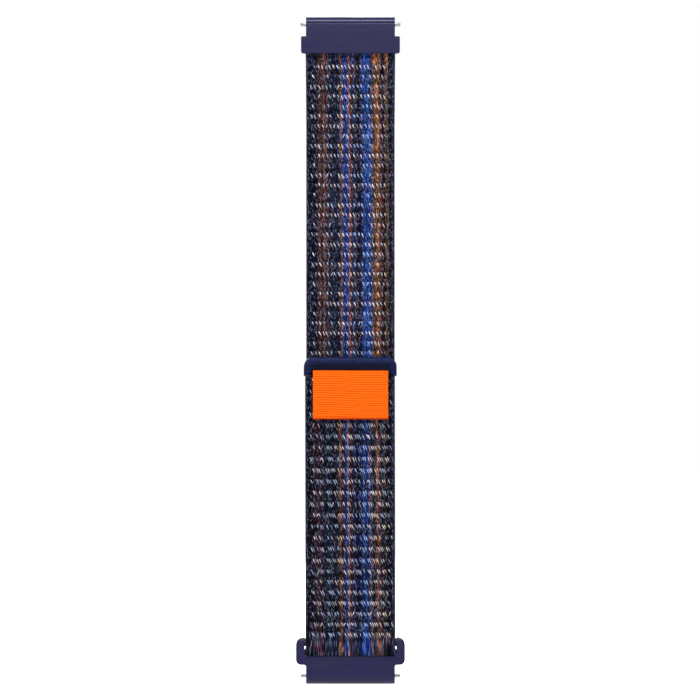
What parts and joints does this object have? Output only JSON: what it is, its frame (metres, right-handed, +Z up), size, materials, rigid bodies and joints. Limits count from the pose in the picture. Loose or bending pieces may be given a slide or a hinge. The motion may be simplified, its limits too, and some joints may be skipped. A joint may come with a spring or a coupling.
{
  "type": "hook and loop watch strap",
  "caption": "Woven watch strap with a moulded spring-bar end piece, a band folded round a moulded ring and held by hook tape, a bound tip and a ribbed pull tab.",
  "frame": {"origin": "middle of the upper spring bar, on its axis", "axes": "+X across the strap along the spring bars, +Z up along the hanging strap, +Y to the side that lies on the wrist, so the front looks towards -Y"},
  "size_m": [0.0266, 0.0078, 0.1637],
  "materials": {
    "moulded_nylon": "satin moulded nylon, dark navy",
    "steel": "turned and polished",
    "woven_cloth": "woven nylon in many colours on navy",
    "hook_nylon": "moulded hooks",
    "binding": "close navy tape",
    "orange_ribbon": "ribbed ribbon"
  },
  "bodies": {
    "upper_end": {"upper_adapter": "moulded_nylon", "upper_bar_tube": "steel", "upper_bar_fixed_tip": "steel", "upper_bar_spring": "steel", "strap_anchor_end": "woven_cloth"},
    "upper_plunger": {"upper_bar_plunger": "steel", "upper_bar_release_knob": "steel"},
    "band_01": {"strap_main_01": "woven_cloth"},
    "band_02": {"strap_main_02": "woven_cloth"},
    "band_03": {"strap_main_03": "woven_cloth"},
    "band_04": {"strap_main_04": "woven_cloth"},
    "band_05": {"strap_main_05": "woven_cloth"},
    "band_06": {"strap_main_06": "woven_cloth"},
    "band_07": {"strap_main_07": "woven_cloth"},
    "band_08": {"strap_main_08": "woven_cloth"},
    "band_09": {"strap_main_09": "woven_cloth"},
    "band_10": {"strap_main_10": "woven_cloth"},
    "band_11": {"strap_main_11": "woven_cloth"},
    "fold": {"strap_fold": "woven_cloth"},
    "ring": {"ring_adapter": "moulded_nylon", "lower_bar_tube": "steel", "lower_bar_fixed_tip": "steel", "lower_bar_spring": "steel"},
    "lower_plunger": {"lower_bar_plunger": "steel", "lower_bar_release_knob": "steel"},
    "free_end_01": {"flap_01": "woven_cloth"},
    "free_end_02": {"flap_02": "woven_cloth"},
    "free_end_03": {"flap_03": "woven_cloth", "hook_tape_01": "hook_nylon"},
    "free_end_04": {"flap_04": "woven_cloth", "hook_tape_02": "hook_nylon"},
    "free_end_05": {"flap_05": "woven_cloth", "hook_tape_03": "hook_nylon"},
    "free_end_06": {"flap_06": "woven_cloth", "hook_tape_04": "hook_nylon", "tip_trim": "binding"},
    "tab": {"pull_tab": "orange_ribbon"}
  },
  "joints": [
    {"name": "upper_plunger_slide", "type": "slide", "parent": "upper_end", "child": "upper_plunger", "axis": [-1, 0, 0], "range_m": [0, 0.0013], "stiffness_N_per_m": 600, "deforming": ["upper_bar_spring"]},
    {"name": "strap_curl_01", "type": "hinge", "parent": "upper_end", "child": "band_01", "pos_m": [0, 0.0008, -0.00712], "axis": [1, 0, 0], "range_deg": [0, 22.7], "stiffness_Nm_per_rad": 0.01},
    {"name": "strap_curl_02", "type": "hinge", "parent": "band_01", "child": "band_02", "pos_m": [0, 0.0008, -0.01922], "axis": [1, 0, 0], "range_deg": [0, 22.7], "stiffness_Nm_per_rad": 0.01},
    {"name": "strap_curl_03", "type": "hinge", "parent": "band_02", "child": "band_03", "pos_m": [0, 0.0008, -0.03132], "axis": [1, 0, 0], "range_deg": [0, 22.7], "stiffness_Nm_per_rad": 0.01},
    {"name": "strap_curl_04", "type": "hinge", "parent": "band_03", "child": "band_04", "pos_m": [0, 0.0008, -0.04342], "axis": [1, 0, 0], "range_deg": [0, 22.7], "stiffness_Nm_per_rad": 0.01},
    {"name": "strap_curl_05", "type": "hinge", "parent": "band_04", "child": "band_05", "pos_m": [0, 0.0008, -0.05552], "axis": [1, 0, 0], "range_deg": [0, 22.7], "stiffness_Nm_per_rad": 0.01},
    {"name": "strap_curl_06", "type": "hinge", "parent": "band_05", "child": "band_06", "pos_m": [0, 0.0008, -0.06762], "axis": [1, 0, 0], "range_deg": [0, 22.7], "stiffness_Nm_per_rad": 0.01},
    {"name": "strap_curl_07", "type": "hinge", "parent": "band_06", "child": "band_07", "pos_m": [0, 0.0008, -0.07972], "axis": [1, 0, 0], "range_deg": [0, 22.7], "stiffness_Nm_per_rad": 0.01},
    {"name": "strap_curl_08", "type": "hinge", "parent": "band_07", "child": "band_08", "pos_m": [0, 0.0008, -0.09182], "axis": [1, 0, 0], "range_deg": [0, 22.7], "stiffness_Nm_per_rad": 0.01},
    {"name": "strap_curl_09", "type": "hinge", "parent": "band_08", "child": "band_09", "pos_m": [0, 0.0008, -0.10392], "axis": [1, 0, 0], "range_deg": [0, 22.7], "stiffness_Nm_per_rad": 0.01},
    {"name": "strap_curl_10", "type": "hinge", "parent": "band_09", "child": "band_10", "pos_m": [0, 0.0008, -0.11602], "axis": [1, 0, 0], "range_deg": [0, 22.7], "stiffness_Nm_per_rad": 0.01},
    {"name": "strap_curl_11", "type": "hinge", "parent": "band_10", "child": "band_11", "pos_m": [0, 0.0008, -0.12812], "axis": [1, 0, 0], "range_deg": [0, 22.7], "stiffness_Nm_per_rad": 0.01},
    {"name": "strap_curl_12", "type": "hinge", "parent": "band_11", "child": "fold", "pos_m": [0, 0.0008, -0.14022], "axis": [1, 0, 0], "range_deg": [0, 22.7], "stiffness_Nm_per_rad": 0.01},
    {"name": "ring_pivot", "type": "hinge", "parent": "fold", "child": "ring", "pos_m": [0, 0, -0.1515], "axis": [1, 0, 0], "range_deg": [-70, 70]},
    {"name": "lower_plunger_slide", "type": "slide", "parent": "ring", "child": "lower_plunger", "axis": [-1, 0, 0], "range_m": [0, 0.0013], "stiffness_N_per_m": 600, "deforming": ["lower_bar_spring"]},
    {"name": "flap_peel", "type": "hinge", "parent": "fold", "child": "free_end_01", "pos_m": [0, -0.0028, -0.147], "axis": [1, 0, 0], "range_deg": [0, 110]},
    {"name": "flap_curl_12", "type": "hinge", "parent": "free_end_01", "child": "free_end_02", "pos_m": [0, 0.0008, -0.14022], "axis": [1, 0, 0], "range_deg": [-22.7, 0], "stiffness_Nm_per_rad": 0.01},
    {"name": "flap_curl_11", "type": "hinge", "parent": "free_end_02", "child": "free_end_03", "pos_m": [0, 0.0008, -0.12812], "axis": [1, 0, 0], "range_deg": [-22.7, 0], "stiffness_Nm_per_rad": 0.01},
    {"name": "flap_curl_10", "type": "hinge", "parent": "free_end_03", "child": "free_end_04", "pos_m": [0, 0.0008, -0.11602], "axis": [1, 0, 0], "range_deg": [-22.7, 0], "stiffness_Nm_per_rad": 0.01},
    {"name": "flap_curl_09", "type": "hinge", "parent": "free_end_04", "child": "free_end_05", "pos_m": [0, 0.0008, -0.10392], "axis": [1, 0, 0], "range_deg": [-22.7, 0], "stiffness_Nm_per_rad": 0.01},
    {"name": "flap_curl_08", "type": "hinge", "parent": "free_end_05", "child": "free_end_06", "pos_m": [0, 0.0008, -0.09182], "axis": [1, 0, 0], "range_deg": [-22.7, 0], "stiffness_Nm_per_rad": 0.01},
    {"name": "pull_tab_lift", "type": "hinge", "parent": "free_end_06", "child": "tab", "pos_m": [0, -0.00502, -0.085], "axis": [-1, 0, 0], "range_deg": [0, 100], "stiffness_Nm_per_rad": 0.0002}
  ],
  "couplings": [
    {"joint": "strap_curl_02", "follows": "strap_curl_01", "ratio": 1},
    {"joint": "strap_curl_03", "follows": "strap_curl_01", "ratio": 1},
    {"joint": "strap_curl_04", "follows": "strap_curl_01", "ratio": 1},
    {"joint": "strap_curl_05", "follows": "strap_curl_01", "ratio": 1},
    {"joint": "strap_curl_06", "follows": "strap_curl_01", "ratio": 1},
    {"joint": "strap_curl_07", "follows": "strap_curl_01", "ratio": 1},
    {"joint": "strap_curl_08", "follows": "strap_curl_01", "ratio": 1},
    {"joint": "strap_curl_09", "follows": "strap_curl_01", "ratio": 1},
    {"joint": "strap_curl_10", "follows": "strap_curl_01", "ratio": 1},
    {"joint": "strap_curl_11", "follows": "strap_curl_01", "ratio": 1},
    {"joint": "strap_curl_12", "follows": "strap_curl_01", "ratio": 1},
    {"joint": "flap_curl_12", "follows": "strap_curl_01", "ratio": -1},
    {"joint": "flap_curl_11", "follows": "strap_curl_01", "ratio": -1},
    {"joint": "flap_curl_10", "follows": "strap_curl_01", "ratio": -1},
    {"joint": "flap_curl_09", "follows": "strap_curl_01", "ratio": -1},
    {"joint": "flap_curl_08", "follows": "strap_curl_01", "ratio": -1}
  ]
}
